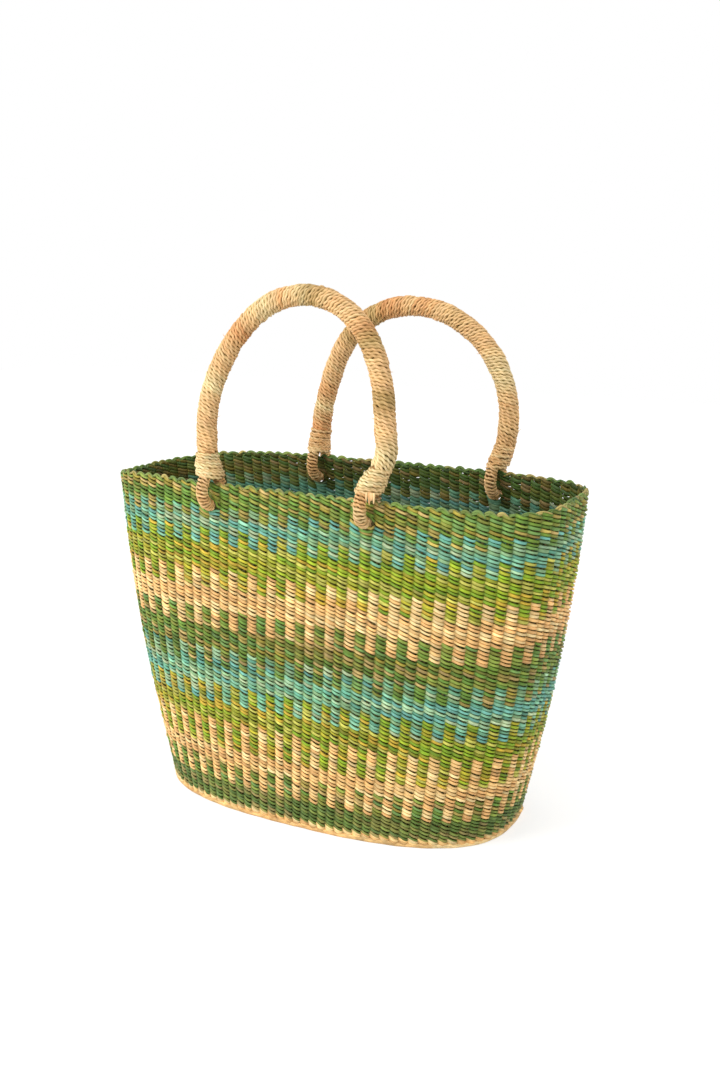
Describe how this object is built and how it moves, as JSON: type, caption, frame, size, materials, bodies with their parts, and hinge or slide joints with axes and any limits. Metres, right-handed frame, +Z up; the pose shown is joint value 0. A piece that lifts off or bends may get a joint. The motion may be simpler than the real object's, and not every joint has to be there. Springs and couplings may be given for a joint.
{
  "type": "woven market basket",
  "caption": "Tall woven straw market basket, oval at the foot and wide at the rim, with striped colour bands and rope handles that rock in wall loops.",
  "frame": {"origin": "middle of the underside, on the ground", "axes": "+Z up, +X along the long side, -Y the front wall"},
  "size_m": [0.4501, 0.192, 0.4815],
  "materials": {
    "green_strands": "matt straw",
    "teal_green_strands": "matt straw",
    "teal_strands": "matt straw",
    "teal_lime_strands": "matt straw",
    "lime_strands": "matt straw",
    "straw_lime_strands": "matt straw",
    "straw_strands": "matt straw",
    "straw_green_strands": "matt straw",
    "dark_green_strands": "matt straw",
    "base_straw": "matt straw",
    "inner_strands": "matt straw",
    "stakes": "matt straw",
    "border_green": "matt straw",
    "handle_cord": "matt straw",
    "whipping_straw": "matt straw",
    "handle_core": "matt straw"
  },
  "bodies": {
    "basket": {"band_01_green": "green_strands", "band_02_teal_green_stripe": "teal_green_strands", "band_03_teal": "teal_strands", "band_04_teal_lime_stripe": "teal_lime_strands", "band_05_lime": "lime_strands", "band_06_straw_lime_stripe": "straw_lime_strands", "band_07_straw": "straw_strands", "band_08_straw_green_stripe": "straw_green_strands", "band_09_green": "green_strands", "band_10_teal_green_stripe": "teal_green_strands", "band_11_teal": "teal_strands", "band_12_teal_lime_stripe": "teal_lime_strands", "band_13_lime": "lime_strands", "band_14_straw_lime_stripe": "straw_lime_strands", "band_15_straw": "straw_strands", "band_16_straw_green_stripe": "straw_green_strands", "band_17_dark_green": "dark_green_strands", "base_mat": "base_straw", "foot_rows_straw": "straw_strands", "inner_weave": "inner_strands", "rim_border": "border_green", "wall_stakes": "stakes"},
    "front_handle": {"front_handle_grip_core": "handle_core", "front_handle_grip_wrap": "handle_cord", "front_handle_left_loop_core": "handle_core", "front_handle_left_loop_wrap": "handle_cord", "front_handle_left_whipping": "whipping_straw", "front_handle_right_loop_core": "handle_core", "front_handle_right_loop_wrap": "handle_cord", "front_handle_right_whipping": "whipping_straw"},
    "back_handle": {"back_handle_grip_core": "handle_core", "back_handle_grip_wrap": "handle_cord", "back_handle_left_loop_core": "handle_core", "back_handle_left_loop_wrap": "handle_cord", "back_handle_left_whipping": "whipping_straw", "back_handle_right_loop_core": "handle_core", "back_handle_right_loop_wrap": "handle_cord", "back_handle_right_whipping": "whipping_straw"}
  },
  "joints": [
    {"name": "front_handle_swing", "type": "hinge", "parent": "basket", "child": "front_handle", "pos_m": [-0.009, -0.07275, 0.2995], "axis": [-1, 0, 0], "range_deg": [-24, 12]},
    {"name": "back_handle_swing", "type": "hinge", "parent": "basket", "child": "back_handle", "pos_m": [0.028, 0.07235, 0.3035], "axis": [1, 0, 0], "range_deg": [-11, 25]}
  ]
}
